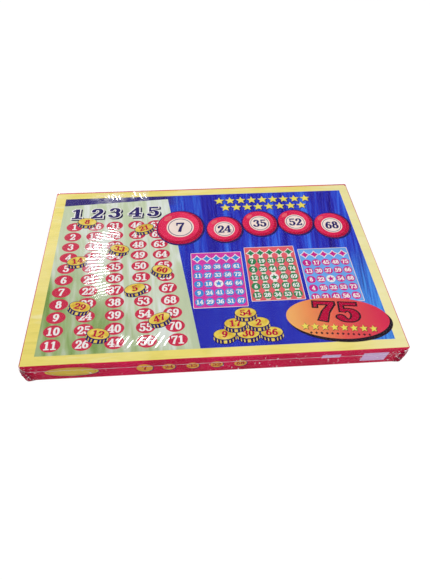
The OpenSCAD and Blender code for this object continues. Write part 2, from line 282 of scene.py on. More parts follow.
def lid_paper():
    """Printed cover paper: yellow on top inside a thin red line, crimson on the sides and inside."""
    s = Shader("cover_paper")
    x, y, z = s.axes()
    edge = s.inset()
    wobble = (s.noise(9, 2) - 0.5) * 0.0012
    # The red line is wider along the back
    back = s.step(y, (DEPTH / 2 - 5) * MM, (DEPTH / 2 - 4) * MM) * -0.0012
    on_top = s.step(z, (TOP - 0.5) * MM, (TOP - 0.3) * MM) * s.step(edge + back + wobble, 0.0009, 0.0013)
    brush = s.noise(1, 4, 0.6, s.scaled(22, 170, 26, 0.7), 0.8)
    yellow = s.mix(s.ramp(brush, (0.44, 0.0), (0.72, 0.6)), (242, 222, 110), (214, 200, 78))
    yellow = s.mix(s.ramp(s.noise(13, 3), (0.42, 0.0), (0.68, 0.7)), yellow, (248, 232, 148))
    pale = s.noise(1, 3, 0.55, s.scaled(16, 90, 16, 0.55), 0.5)
    yellow = s.mix(s.ramp(pale, (0.56, 0.0), (0.76, 0.5)), yellow, (252, 246, 206))
    yellow = s.mix(s.step(x, 0.13, 0.195) * 0.34 + 0.06, yellow, (248, 248, 218))
    red = s.mix(s.ramp(s.noise(24, 4), (0.35, 0.0), (0.7, 1.0)), (176, 8, 50), (210, 20, 78))
    # The fold along the top edge catches the light
    lit = s.step(z + s.noise(60, 2) * 0.001, (TOP - 1.9) * MM, (TOP - 0.6) * MM)
    uneven = s.ramp(s.noise(1, 2, 0.5, s.scaled(14, 14, 14)), (0.4, 0.15), (0.62, 0.7))
    red = s.mix(lit * uneven, red, (224, 44, 78))
    streak = s.noise(1, 3, 0.6, s.scaled(300, 300, 16))
    red = s.mix(s.ramp(streak, (0.6, 0.0), (0.8, 0.12)), red, (226, 150, 178))
    # Ink rubbed off the folds and the corners
    fold = s.step(z, (TOP - 1.5) * MM, TOP * MM) * (1 - s.step(edge, 0.0003, 0.0013))
    rub = fold * s.step(s.noise(260, 5, 0.7), 0.55, 0.7) * 0.4
    reach = s.least(abs(x) - (WIDTH / 2 - 2.4) * MM, abs(y) - (DEPTH / 2 - 2.4) * MM)
    corner = s.step(reach, 0.0, 0.0016) * s.step(s.noise(300, 4, 0.7), 0.48, 0.62)
    col = s.mix(s.most(rub, corner), s.mix(on_top, red, yellow), (240, 226, 214))
    inside = s.step(edge, 0.0016, 0.0018) * (1 - s.step(z, (TOP - 1.2) * MM, (TOP - 0.8) * MM))
    return s.ink(s.mix(inside, col, (168, 36, 62)), s.noise(90, 3) * 0.15 + 0.32)


def curtain():
    """A blue field with soft upright folds, plain at the lower left and brightest at the lower right."""
    s = Shader("cover_field")
    x, y, _ = s.axes()
    # The folds fan out a little towards the lower right
    vec = s.node("CombineXYZ", i0=x + (0.12 - y) * x * 0.9, i1=y * 0.05, i2=0.0)
    fine = s.noise(330, 3, 0.6, vec, 0.4)
    col = s.ramp(s.noise(62, 2, 0.5, vec, 0.3) * 0.58 + fine * 0.42, (0.37, (38, 24, 128)),
                 (0.47, (46, 48, 180)), (0.55, (50, 76, 208)), (0.65, (66, 122, 238)))
    gloom = 1 - s.step(x - y * 0.25, -0.06, 0.07)
    col = s.mix(gloom * 0.3, col, (40, 38, 158))
    plain = (1 - s.step(y + x * 0.35, -0.055, 0.01)) * 0.85
    col = s.mix(plain, col, s.mix(s.noise(24, 3), (42, 42, 160), (50, 58, 190)))
    bright = s.step(x, 0.142, 0.18) * (1 - s.step(y, -0.06, 0.03))
    col = s.mix(bright * s.ramp(fine, (0.35, 0.3), (0.6, 0.95)), col, (78, 156, 238))
    # A violet strip over the green panel
    strip = s.step(y, 0.096, 0.103) * (1 - s.step(x, -0.06, -0.03))
    return s.ink(s.mix(strip * 0.85, col, (56, 42, 100)))


def green_panel():
    """A green ground with pale, soft, leaning strands."""
    s = Shader("cover_panel")
    x, y, _ = s.axes()
    vec = s.node("CombineXYZ", i0=x + y * 0.1, i1=y * 0.13, i2=0.0)
    folds = s.noise(40, 3, 0.55, vec, 1.1) * 0.8 + s.noise(210, 2, 0.5, vec, 0.4) * 0.2
    col = s.ramp(folds, (0.35, (122, 152, 80)), (0.46, (150, 174, 112)), (0.55, (172, 190, 142)),
                 (0.66, (208, 214, 196)))
    # Paler towards the back and the right
    fade = s.step(x + y + s.noise(14, 2) * 0.06, -0.18, -0.115)
    col = s.mix(fade * 0.6, col, (224, 230, 204))
    return s.ink(s.mix(s.ramp(folds, (0.48, 0.0), (0.6, 0.75)) * fade, col, (232, 236, 234)), 0.42)


def ball_red():
    s = Shader("ball_red")
    return s.ink(s.mix(s.ramp(s.noise(26, 3), (0.3, 0.0), (0.75, 1.0)), (216, 30, 78), (244, 62, 104)))


def badge():
    """Orange on the left, turning red to the right."""
    s = Shader("badge_blend")
    t = s.node("MapRange", Value=s.axes()[0], i1=0.082, i2=0.182, i3=0.0, i4=1.0)
    col = s.ramp(t, (0.0, (244, 176, 104)), (0.22, (240, 146, 88)), (0.55, (232, 92, 84)),
                 (1.0, (220, 52, 84)))
    return s.ink(s.shade(col, s.noise(60, 3), (0.3, 0.95), (0.7, 1.04)))


def gold_ink():
    s = Shader("gold_ink")
    col = s.ramp(s.noise(150, 3), (0.3, (212, 172, 56)), (0.52, (234, 204, 84)), (0.75, (246, 226, 128)))
    return s.ink(col)


def film():
    """Clear shrink film: see-through, with a glossy face, fine pulled creases and milky crumples."""
    s = Shader("film_clear")
    x, y, z = s.axes()
    creases = s.noise(1, 3, 0.6, s.scaled(110, 420, 300, 0.42), 0.5)
    pulls = s.noise(1, 3, 0.55, s.scaled(90, 420, 200, -0.5), 0.8)

    def spot(cx, cy, rx, ry):
        dx, dy = (x - cx) / rx, (y - cy) / ry
        return 1 - s.step(dx * dx + dy * dy, 0.1, 1.0)
    # Milky haze over the number table and at two places on the back edge, where the glints are: partly
    # creased film, partly painted glare haze
    back = s.most(spot(-0.128, 0.116, 0.03, 0.016), spot(-0.088, 0.121, 0.016, 0.02))
    glare_haze_zone = s.most(spot(-0.135, 0.018, 0.022, 0.062), back)
    # Upright pulls on the sides
    down = s.noise(1, 3, 0.6, s.scaled(240, 240, 30), 0.6)
    side = 1 - s.step(z, (TOP - 2.5) * MM, (TOP - 0.5) * MM)
    bumps = s.bump(creases * 0.03 + pulls * 0.04 + down * side * 0.8, 0.5, 0.0006)
    gloss = s.node("BsdfGlossy", props={"distribution": "BECKMANN"}, Color=WHITE, Roughness=0.2,
                   Normal=bumps)
    clear = s.node("BsdfTransparent", Color=(0.99, 0.992, 0.995, 1))
    front = 1 - s.node("NewGeometry", out="Backfacing")
    facing = s.node("LayerWeight", out="Facing", Blend=0.5, Normal=bumps)
    # The drawn film on the flanks of creases is far glossier than the flat film
    flank = s.step(1 - s.rise(), 0.006, 0.024) * s.step(s.inset(), 0.001, 0.002)
    drawn = flank * 0.22 + 0.005
    amount = s.math("MULTIPLY", facing ** 4.0 * 0.04 + drawn, front, clamp=True)
    body = s.blend(amount, clear, gloss)
    milk = s.node("BsdfDiffuse", Color=(0.95, 0.94, 0.98, 1), Roughness=0.5)
    dust = s.step(s.noise(700, 3, 0.6), 0.72, 0.8)
    fold = s.step(down, 0.64, 0.74) * side
    # Crumpled film at the upright corners, bunched over the crimson box; its white flecks are partly
    # whitened film and partly painted glints
    reach = s.least(abs(x), abs(y) + (WIDTH - DEPTH) / 2 * MM)
    corner = s.step(reach, (WIDTH / 2 - 24) * MM, (WIDTH / 2 + 1) * MM)
    low = 1 - s.step(z, 0.02, 0.028)
    bunched = s.step(reach, (WIDTH / 2 - 9) * MM, (WIDTH / 2 - 1) * MM) * 0.9 * low
    crumple_and_glint = s.step(s.noise(430, 2, 0.5), 0.63, 0.66) * corner * side
    # White flecks, thickest on the right half of the front: partly milky film, partly painted glints
    more = (1 - s.step(abs(x - 0.09), 0.05, 0.13)) * s.step(y, -0.12, -0.13) * 0.04
    fleck_and_glint = s.step(s.noise(1, 2, 0.5, s.scaled(420, 420, 120)) + more, 0.7, 0.75) * side
    haze = dust * 0.012 + fold * 0.05 + s.most(crumple_and_glint, fleck_and_glint * 0.7)
    # Inside the glare zone the milk cloud is painted glare haze round the glints, over partly creased film
    cloud = s.step(creases * 0.5 + s.noise(60, 3) * 0.5, 0.4, 0.64) * 0.5 * (1 - side)
    # Haze scatters light on towards the print, so it casts no shadow there
    haze = s.math("ADD", haze, glare_haze_zone * cloud, clamp=True) * (1 - s.ray("Shadow"))
    # Where it bunches low at the corners the film is drawn as opaque mottled crimson, darker than the box's
    # red in places
    bunched_crimson = s.mix(s.step(s.noise(260, 3), 0.35, 0.7), (128, 6, 40), (190, 30, 72))
    body = s.blend(bunched, body, s.node("BsdfDiffuse", Color=bunched_crimson))
    return s.finish(s.blend(haze, body, milk))


def weld():
    """The film's melted seam: cloudy and glossy."""
    s = Shader("film_weld")
    body = s.node("BsdfPrincipled", Base_Color=(236, 226, 236), Roughness=0.2,
                  Normal=s.bump(s.noise(900, 3), 0.5, 0.0002))
    amount = s.ramp(s.noise(1, 3, 0.6, s.scaled(120, 120, 500)), (0.3, 0.18), (0.7, 0.6))
    return s.finish(s.blend(amount, s.node("BsdfTransparent", Color=WHITE), body))


def cotton():
    """Plain-weave cotton: over-and-under threads with slubs, painted shade where the threads dip and paler
    high spots.
    """
    s = Shader("bag_cotton")
    thread = s.most(*(s.node("TexWave", props={"bands_direction": way}, Vector=s.place(), Scale=420,
                             Distortion=0.6, Detail=1) for way in "XY"))
    slub = s.noise(1, 3, 0.6, s.scaled(260, 40, 260))
    col = s.mix(s.ramp(s.noise(46, 4), (0.35, 0.0), (0.75, 1.0)), (142, 22, 44), (176, 48, 66))
    # Painted shade: darker where the threads dip, a little paler on their tops
    col = s.shade(col, thread, (0.1, 0.72), (0.9, 1.06))
    col = s.shade(col, slub, (0.35, 0.9), (0.7, 1.06))
    return s.surface(col, 0.9, s.bump(thread + slub, 0.6, 0.0002), 0.1, Sheen_Weight=0.35)


def moulded(name, colour):
    s = Shader(name)
    col = s.shade(colour, s.noise(50, 3), (0.3, 0.94), (0.7, 1.05))
    return s.surface(col, 0.38, s.bump(s.noise(1200, 2), 0.15, 0.00005), 0.4)


INKS = {"field": curtain(), "panel": green_panel(), "balls": ball_red(), "badge": badge(),
        "gold": gold_ink(), "oval": printed("oval_red", (206, 52, 80), 0.07),
        "deep": printed("print_deep_red", (186, 22, 62)),
        "shadow": printed("print_black", (40, 30, 40), 0.05),
        "label": printed("label_paper", (202, 170, 208), 0.04),
        "side_gold": printed("side_gold", (214, 158, 62), 0.12),
        "side_yellow": printed("side_yellow", (206, 178, 70), 0.12),
        "crimson": printed("tray_crimson", (162, 16, 50), 0.07, 0.4, 30, 0.2)}
for ink, colour, vary in (("white", (244, 240, 236), 0.03), ("navy", (44, 34, 100), 0.08),
                          ("yellow", (240, 222, 96), 0.05), ("pale", (246, 226, 214), 0.04),
                          ("magenta", (216, 62, 166), 0.08), ("pink", (232, 96, 108), 0.06),
                          ("sky", (112, 170, 236), 0.08), ("blue", (66, 140, 214), 0.06),
                          ("green", (52, 132, 84), 0.07), ("rose", (206, 40, 140), 0.06)):
    INKS[ink] = printed("print_" + ink, colour, vary)

# Mesh helpers


def link(name, verts, faces, mats, body, slot, indices=None, smooth=False):
    """An object from points in mm, riding on a body."""
    mesh = bpy.data.meshes.new(name)
    mesh.from_pydata([(x * MM, y * MM, z * MM) for x, y, z in verts], [], faces)
    for m in mats:
        mesh.materials.append(m)
    if indices:
        mesh.polygons.foreach_set("material_index", indices)
    mesh.polygons.foreach_set("use_smooth", [smooth] * len(faces))
    mesh.update()
    obj = bpy.data.objects.new(name, mesh)
    scene.collection.objects.link(obj)
    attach(obj, body)
    return obj


def loft(rods, loop=False):
    """Points and quads of rods, each a list of rings, which close in a loop or are capped at both ends."""
    verts, faces = [], []
    for rings in rods:
        start, n = len(verts), len(rings[0])
        for ring in rings:
            verts += ring
        for k in range(len(rings) - (not loop)):
            here, ahead = start + k * n, start + (k + 1) % len(rings) * n
            faces += [(here + i, here + (i + 1) % n, ahead + (i + 1) % n, ahead + i) for i in range(n)]
        if not loop:
            faces += [tuple(start + i for i in reversed(range(n))), tuple(ahead + i for i in range(n))]
    return verts, faces


def lerp(a, b, t):
    return a + (b - a) * t


def bounded(value):
    return max(0.0, min(1.0, value))


def turned(x, y, u, v, turn):
    """The point (u, v) turned about the origin and moved by (x, y)."""
    c, s = math.cos(turn), math.sin(turn)
    return x + u * c - v * s, y + u * s + v * c


def bend(a, b, c):
    """Above 0 where the way from a by b to c turns left."""
    return (b[0] - a[0]) * (c[1] - a[1]) - (b[1] - a[1]) * (c[0] - a[0])


def ellipse(cx, cy, rx, ry=None, n=32, turn=0.0):
    """A turned ellipse's outline, or a circle's."""
    around = [2 * math.pi * i / n for i in range(n)]
    return [turned(cx, cy, rx * math.cos(a), (ry or rx) * math.sin(a), turn) for a in around]


def box_ring(cx, cy, w, h, r=0.0):
    """A rectangle's outline; a corner of radius r has six points, 18 degrees apart."""
    out = []
    for sx, sy, a0 in ((-1, -1, 180), (1, -1, -90), (1, 1, 0), (-1, 1, 90)):
        for i in range(6 if r else 1):
            a = math.radians(a0 + 18 * i)
            out.append((cx + sx * (w / 2 - r) + r * math.cos(a), cy + sy * (h / 2 - r) + r * math.sin(a)))
    return out


def star(cx, cy, r, points=5, inner=0.45):
    """A star's outline; its inner points lie at this share of its radius."""
    around = [(r if i % 2 == 0 else r * inner, math.pi * i / points) for i in range(2 * points)]
    return [(cx + far * math.sin(a), cy + far * math.cos(a)) for far, a in around]


# Numerals: slab-footed strokes, one unit high about their middles, each with its half width

THICK, THIN = 0.105, 0.05
# Numerals follow each other at this share of their height
SPACING = 0.68


def arc(cx, cy, rx, ry, a0, a1):
    """A curved pen stroke: heavy where it runs upright, light where it runs level."""
    n = max(6, int(abs(a1 - a0) / 13))
    out = []
    for i in range(n + 1):
        a = math.radians(a0 + (a1 - a0) * i / n)
        upright = abs(ry * math.cos(a)) / math.hypot(rx * math.sin(a), ry * math.cos(a))
        half = THIN + (THICK - THIN) * upright ** 1.4
        out.append((cx + rx * math.cos(a), cy + ry * math.sin(a), half))
    return out


def bar(x0, y0, x1, y1):
    """A level or upright block as a stroke."""
    return [(x0, (y0 + y1) / 2, (y1 - y0) / 2), (x1, (y0 + y1) / 2, (y1 - y0) / 2)]


STROKES = {
    "0": [arc(0, 0, 0.215, 0.45, 0, 360)],
    "1": [bar(-0.1, -0.5, 0.1, 0.5), bar(-0.26, -0.5, 0.26, -0.39),
          [(-0.24, 0.3, 0.05), (-0.04, 0.42, 0.08)]],
    "2": [arc(0, 0.2, 0.205, 0.25, 170, -40), [(0.157, 0.04, 0.1), (-0.19, -0.4, 0.07)],
          bar(-0.3, -0.5, 0.3, -0.37), bar(0.2, -0.5, 0.3, -0.22), [(-0.2, 0.22, 0.1), (-0.19, 0.24, 0.1)]],
    "3": [arc(0, 0.24, 0.185, 0.21, 150, -90), arc(-0.02, -0.2, 0.22, 0.25, 90, -155),
          [(-0.19, 0.29, 0.09), (-0.18, 0.3, 0.09)], [(-0.24, -0.28, 0.1), (-0.23, -0.29, 0.1)]],
    "4": [bar(0.02, -0.5, 0.21, 0.5), [(0.1, 0.44, 0.055), (-0.29, -0.16, 0.055)],
          bar(-0.34, -0.24, 0.34, -0.12), bar(-0.1, -0.5, 0.32, -0.4)],
    "5": [bar(-0.2, 0.36, 0.27, 0.5), bar(-0.21, 0.02, -0.12, 0.5),
          arc(-0.01, -0.17, 0.225, 0.28, 135, -155), [(-0.23, -0.28, 0.1), (-0.22, -0.29, 0.1)]],
    "6": [arc(0, -0.19, 0.205, 0.26, 0, 360), arc(0.17, -0.14, 0.375, 0.59, 95, 180),
          [(0.19, 0.35, 0.085), (0.2, 0.36, 0.085)]],
    "7": [bar(-0.3, 0.36, 0.3, 0.5), bar(-0.3, 0.2, -0.21, 0.5),
          [(0.25, 0.4, 0.06), (0.05, 0.0, 0.09), (-0.07, -0.5, 0.12)]],
    "8": [arc(0, 0.25, 0.165, 0.2, 0, 360), arc(0, -0.2, 0.21, 0.25, 0, 360)],
}
STROKES["9"] = [[(-x, -y, w) for x, y, w in stroke] for stroke in STROKES["6"]]
GLYPHS = {}


def glyph(char, bold):
    """One numeral as (points, triangles, rim edges), the union of its strokes."""
    if (char, bold) in GLYPHS:
        return GLYPHS[char, bold]
    points, polys = [], []
    for stroke in STROKES[char]:
        last = None
        for k, (x, y, w) in enumerate(stroke):
            x0, y0, _ = stroke[max(k - 1, 0)]
            x1, y1, _ = stroke[min(k + 1, len(stroke) - 1)]
            if stroke[0][:2] == stroke[-1][:2] and k in (0, len(stroke) - 1):
                x0, y0, _ = stroke[-2]
                x1, y1, _ = stroke[1]
            run = math.hypot(x1 - x0, y1 - y0)
            tx, ty = (x1 - x0) / run, (y1 - y0) / run
            half = w + bold
            grow = 0.0 if len(stroke) > 3 else bold * (1 if k else -1)
            x, y = x + tx * grow, y + ty * grow
            pair = ((x - ty * half, y + tx * half), (x + ty * half, y - tx * half))
            if last:
                polys.append([len(points) + i for i in range(4)])
                points += [last[0], last[1], pair[1], pair[0]]
            last = pair
        if run < 0.05 and len(stroke) == 2:
            # A round terminal
            x, y, w = stroke[0]
            polys.append([len(points) + i for i in range(16)])
            points += ellipse(x, y, w + bold, n=16)
    out = delaunay_2d_cdt([Vector(p) for p in points], [], polys, 1, 1e-5)
    verts, tris = [tuple(v) for v in out[0]], []
    for t, source in zip(out[2], out[5]):
        if source:
            tris.append(tuple(t) if bend(*(verts[i] for i in t)) > 0 else tuple(reversed(t)))
    used = {(t[i], t[(i + 1) % 3]) for t in tris for i in range(3)}
    rim = [e for e in used if (e[1], e[0]) not in used]
    GLYPHS[char, bold] = verts, tris, rim
    return GLYPHS[char, bold]


# Print

# One layer of ink, in mm
INK = 0.012


def top_plane(u, v, h):
    return u, v, h


def front_plane(u, v, h):
    """The lid's front side: u to the right, v up, h out towards -Y."""
    return u, -h, v


class Print:
    """Closed, very thin plates of ink that lie on a printed face, gathered into one piece."""

    def __init__(self, name, base=TOP, body="lid", slot="cover_print", plane=top_plane):
        self.name, self.base, self.body, self.slot, self.plane = name, base, body, slot, plane
        self.verts, self.faces, self.index, self.mats = [], [], [], []

    def raise_up(self, key, layer, points, tris, rim):
        """A plate with these points, triangles and rim edges, from the face up to that layer."""
        if INKS[key] not in self.mats:
            self.mats.append(INKS[key])
        n, start = len(points), len(self.verts)
        for h in (self.base, self.base + INK * layer):
            self.verts += [self.plane(x, y, h) for x, y in points]
        for t in tris:
            self.faces += [tuple(start + n + i for i in t), tuple(start + i for i in reversed(t))]
        self.faces += [(start + i, start + j, start + n + j, start + n + i) for i, j in rim]
        self.index += [self.mats.index(INKS[key])] * (2 * len(tris) + len(rim))

    def plate(self, key, layer, *rings):
        """The area inside the first ring and outside the others."""
        points = [p for ring in rings for p in ring]
        tris = tessellate_polygon([[Vector((x, y, 0)) for x, y in ring] for ring in rings])
        tris = [(a, c, b) if bend(points[a], points[b], points[c]) < 0 else (a, b, c) for a, b, c in tris]
        rim, at = [], 0
        for ring in rings:
            n = len(ring)
            rim += [(at + k, at + (k + 1) % n) for k in range(n)]
            at += n
        self.raise_up(key, layer, points, tris, rim)

    def number(self, key, layer, text, x, y, height, bold=0.0, wide=1.0, turn=0.0):
        """A plain number centred at (x, y), height mm high."""
        for k, char in enumerate(text):
            points, tris, rim = glyph(char, bold)
            shift = (k - (len(text) - 1) / 2) * SPACING
            points = [turned(x, y, (vx + shift) * height * wide, vy * height, turn) for vx, vy in points]
            self.raise_up(key, layer, points, tris, rim)

    def done(self):
        link(self.name, self.verts, self.faces, self.mats, self.body, self.slot, self.index)


def background():
    piece = Print("cover_background")
    piece.plate("field", 1, [(LEFT, FRONT), (RIGHT, FRONT), (RIGHT, BACK), (LEFT, BACK)])
    piece.plate("panel", 2, [(LEFT, FRONT), (-17.5, FRONT), (-49.5, 111.3), (LEFT, 103.8)])
    piece.done()


def number_table():
    """Five columns of eleven numbered ovals, which lean apart, under their heads."""
    piece = Print("cover_number_table")
    columns = ((-168, -172), (-141.5, -139.5), (-117.5, -106.25), (-90, -72.5), (-65.5, -40.5))
    first_y, last_y, head_y, high, wide = 64, -107.7, 88, 18, 1.32
    for c, (top_x, low_x) in enumerate(columns):
        for r in range(11):
            x, y = lerp(top_x, low_x, r / 10), lerp(first_y, last_y, r / 10)
            piece.plate("oval", 3, ellipse(x, y, 10.5, 7.7, 28))
            piece.number("white", 4, str(15 * c + r + 1), x, y, 9.6, 0.012, 1.08)
        x, head = lerp(top_x, low_x, -0.14), str(c + 1)
        for k in range(4):
            piece.number("navy", 3, head, x + 0.7 * k, head_y - 0.7 * k, high, 0.07, wide)
        piece.number("white", 4, head, x, head_y, high, 0.075, wide)
        piece.number("navy", 5, head, x, head_y, high, 0.012, wide)
    piece.done()


def token(piece, x, y, r, text, turn, layer):
    """A token drawn at a slant: a yellow face over a navy rim with yellow ticks."""
    thick, squeeze = 0.42, 0.55

    def spot(a, share, drop):
        v = r * share * squeeze * math.sin(a) - r * thick * drop
        return turned(x, y, r * share * math.cos(a), v, turn)
    upper = [spot(math.pi * i / 16, 1.0, 0.0) for i in range(17)]
    lower = [spot(math.pi * (1 + i / 16), 1.0, 1.0) for i in range(17)]
    piece.plate("navy", layer, upper + lower)
    for a, half in ((200, 7), (228, 3), (247, 3), (270, 8), (293, 3), (312, 3), (340, 7)):
        p, q = math.radians(a - half), math.radians(a + half)
        tick = [spot(side, 0.99, drop) for side, drop in ((p, 0.18), (p, 0.86), (q, 0.86), (q, 0.18))]
        piece.plate("gold", layer + 1, tick)
    piece.plate("gold", layer + 1, [spot(2 * math.pi * i / 32, 0.94, 0.0) for i in range(32)])
    piece.number("deep", layer + 2, text, x, y, r * 0.62, 0.015, 1.25, turn)


def tokens():
    """Tokens strewn over the table, and a pyramid of tokens on the blue field."""
    piece = Print("cover_tokens")
    for x, y, text, turn in ((-153, 73, "8", -0.12), (-80, 58, "21", 0.3), (-109, 24, "33", -0.25),
                             (-158, 7, "14", 0.2), (-57, -12, "60", -0.3), (-88, -38, "5", 0.25),
                             (-147, -60, "29", -0.3), (-60, -80, "47", 0.35), (-124, -96, "12", -0.2)):
        token(piece, x, y, 12.5, text, turn, 6)
    for x, y, text, layer in ((9, -104, "9", 9), (34, -104, "30", 9), (59, -104, "66", 9),
                              (21.5, -91, "17", 12), (46.5, -91, "2", 12), (34, -78, "54", 15)):
        token(piece, x, y, 12.4, text, 0.0, layer)
    piece.done()


def balls():
    piece = Print("cover_balls")
    for x, y, r, text in ((-34, 57, 31, "7"), (22, 51, 24, "24"), (68.5, 59, 24, "35"), (115, 59, 24, "52"),
                          (161, 51, 24, "68")):
        piece.plate("navy", 8, ellipse(x + 0.8, y - 0.8, r, n=56))
        piece.plate("deep", 9, ellipse(x, y, r - 1.9, n=56))
        piece.plate("balls", 9.5, ellipse(x - r * 0.06, y + r * 0.07, r * 0.84, n=56))
        piece.plate("pale", 10, ellipse(x, y, r * 0.56, n=40))
        piece.plate("navy", 11, ellipse(x, y, r * 0.5, n=40), ellipse(x, y, r * 0.47, n=40))
        piece.plate("pink", 10, ellipse(x - r * 0.5, y + r * 0.55, r * 0.2, r * 0.11, 20, 0.75))
        piece.number("navy", 11, text, x, y, r * 0.52, 0.012, 1.02)
    piece.done()


def stars():
    """Two rows of stars above the balls."""
    piece = Print("cover_stars")
    for n, y in ((9, 104), (8, 90.5)):
        for k in range(n):
            x = 78 + (k - (n - 1) / 2) * 14.6
            piece.plate("navy", 4, star(x + 0.7, y - 0.7, 8.2))
            piece.plate("yellow", 5, star(x, y, 7.0))
    piece.done()


# A number card's look: its heads' colour, drop and two stars, its first row's drop, its dots' radius and
# sides, its free place's star, and its numbers' height, weight and width
COVER_LOOK = ("white", 9, (6.2, 4, 0.6), (4.6, 4, 0.6), 22, 5.3, 22, 4.3, 5.6, 0.02, 1.02)


def number_grid(piece, layer, dot, numbers, cx, top, across, down, look):
    """Five heads over five rows of five numbers; * marks the free place in the middle."""
    head, drop, outer, inner, first, r, sides, free, high, bold, wide = look
    for k in range(5):
        x = cx + (k - 2) * across
        piece.plate(head, layer, star(x, top - drop, *outer))
        piece.plate(dot, layer + 1, star(x, top - drop, *inner))
        for j, value in enumerate(numbers.split()[k::5]):
            y = top - first - down * j
            piece.plate("white" if value == "*" else dot, layer, ellipse(x, y, r, n=sides))
            if value == "*":
                piece.plate(dot, layer + 1, star(x, y, free))
            else:
                piece.number("white", layer + 1, value, x, y, high, bold, wide)


def painted_cards():
    """Three number cards on the cover, the middle one striped."""
    piece = Print("cover_cards")
    w, h, across, down = 60, 80, 11.6, 12.6
    for cx, cy, ground, dot, numbers in (
            (8, -29, "magenta", "blue",
             "5 20 38 49 61 11 27 33 58 72 3 18 * 46 64 9 24 41 55 70 14 29 36 51 67"),
            (73.5, -23, "pink", "green",
             "7 19 31 57 63 2 26 44 50 74 12 16 * 60 69 6 23 39 47 62 15 28 34 53 71"),
            (139, -29, "sky", "rose",
             "1 17 45 48 75 13 30 37 59 66 8 22 * 54 68 4 25 32 52 73 10 21 43 56 65")):
        piece.plate("pale", 6, box_ring(cx, cy, w + 1.4, h + 1.4, 1.2))
        piece.plate(ground, 7, box_ring(cx, cy, w, h, 0.8))
        if ground == "pink":
            for k in range(5):
                piece.plate("pale", 8, box_ring(cx + across * (k - 2), cy - 6, 4.8, h - 14))
        number_grid(piece, 9, dot, numbers, cx, cy + h / 2, across, down, COVER_LOOK)
    piece.done()


def oval_badge():
    """An oval with a shadow, a number, a row of stars and a row of dots, all on a slant."""
    piece = Print("cover_badge")
    cx, cy, tilt = 133.5, -90, -0.1
    piece.plate("shadow", 11, ellipse(cx + 2, cy - 3.5, 56.5, 27, 72, tilt))
    piece.plate("badge", 12, ellipse(cx, cy, 56, 26.5, 72, tilt))
    piece.number("shadow", 13, "75", cx, cy + 8, 25, 0.055, 1.5, tilt)
    piece.number("deep", 14, "75", cx, cy + 8, 25, 0.0, 1.5, tilt)
    for k in range(8):
        x, y = turned(cx, cy, 10.4 * (k - 3.5), -12.6, tilt)
        piece.plate("shadow", 13, star(x + 0.3, y - 0.3, 5.2))
        piece.plate("yellow", 14, star(x, y, 4.5))
    for k in range(12):
        piece.plate("shadow", 13, star(*turned(cx, cy, 5.6 * (k - 5.5), -20.3, tilt), 1.7, 4, 0.6))
    piece.done()


def front_print():
    """An oval, five numbered discs and two bare labels on the lid's front side."""
    piece = Print("side_print", DEPTH / 2, plane=front_plane)
    piece.plate("navy", 1, ellipse(-150.4, 15.4, 27.6, 9.6, 56))
    piece.plate("side_yellow", 2, ellipse(-151, 16, 27.4, 9.3, 56))
    piece.plate("crimson", 3, ellipse(-151, 16, 24.6, 7.6, 56), ellipse(-151, 16, 24, 7.1, 56))
    for x, r, text in ((-76, 8.8, "7"), (-51, 7, "24"), (-26, 7, "35"), (-1, 7, "52"), (24, 7, "68")):
        piece.plate("navy", 1, ellipse(x + 0.6, 15.4, r, n=40))
        piece.plate("side_gold", 2, ellipse(x, 16, r - 0.4, n=40))
        piece.number("crimson", 3, text, x, 16, r * 0.95, 0.01, 1.0)
    piece.plate("label", 2, box_ring(119.5, 20.6, 20, 6.4, 0.4))
    piece.plate("label", 2, box_ring(167.5, 14.8, 27, 17.4, 0.5))
    piece.done()


def stack_prints():
    """The top card of each stack."""
    for node, ground, dot, numbers in (
            ("cards_magenta", "magenta", "blue",
             "4 22 35 47 61 12 18 41 52 70 1 29 * 58 66 8 16 33 49 74 15 25 44 60 63"),
            ("cards_red", "pink", "green",
             "9 17 31 50 72 3 27 38 46 65 14 20 * 55 69 6 30 42 59 61 11 23 36 48 75"),
            ("cards_blue", "sky", "rose",
             "2 19 45 53 68 10 24 32 57 62 7 28 * 51 73 13 21 40 56 67 5 26 37 54 71")):
        cx, cy, w, h, top = plan(node)
        w, h = w - 3, h - 3
        piece = Print(node + "_print", top, "tray", "band_paper")
        piece.plate("white", 1, box_ring(cx, cy, w, h, 2.4))
        piece.plate(ground, 2, box_ring(cx, cy, w - 5, h - 5, 1.5))
        down = (h - 34) / 5
        look = ("pale", 15, (7, 4, 0.55), (4.6, 4, 0.55), 27.5 + down / 2, 7, 28, 5.4, 7.4, 0.01, 1.0)
        number_grid(piece, 3, dot, numbers, cx, cy + h / 2, (w - 11) / 5, down, look)
        piece.done()


def caller_print():
    """Five columns of fifteen numbered ovals under starred heads."""
    cx, cy, w, h, top = plan("caller_sheet")
    piece = Print("caller_print", top, "tray", "board_print")
    piece.plate("white", 1, box_ring(cx, cy, w - 3, h - 3, 3), box_ring(cx, cy, w - 5, h - 5, 2.4))
    for c in range(5):
        x = cx + (c - 2) * 20.4
        piece.plate("navy", 1, box_ring(x, cy + h / 2 - 12, 17, 13, 2))
        piece.plate("yellow", 2, star(x, cy + h / 2 - 12, 5))
        for r in range(15):
            y = cy + h / 2 - 28.5 - 14.9 * r
            piece.plate("oval", 1, ellipse(x, y, 9, 6.4, 28))
            piece.number("white", 2, str(15 * c + r + 1), x, y, 7.6, 0.01, 1.1)
    piece.done()


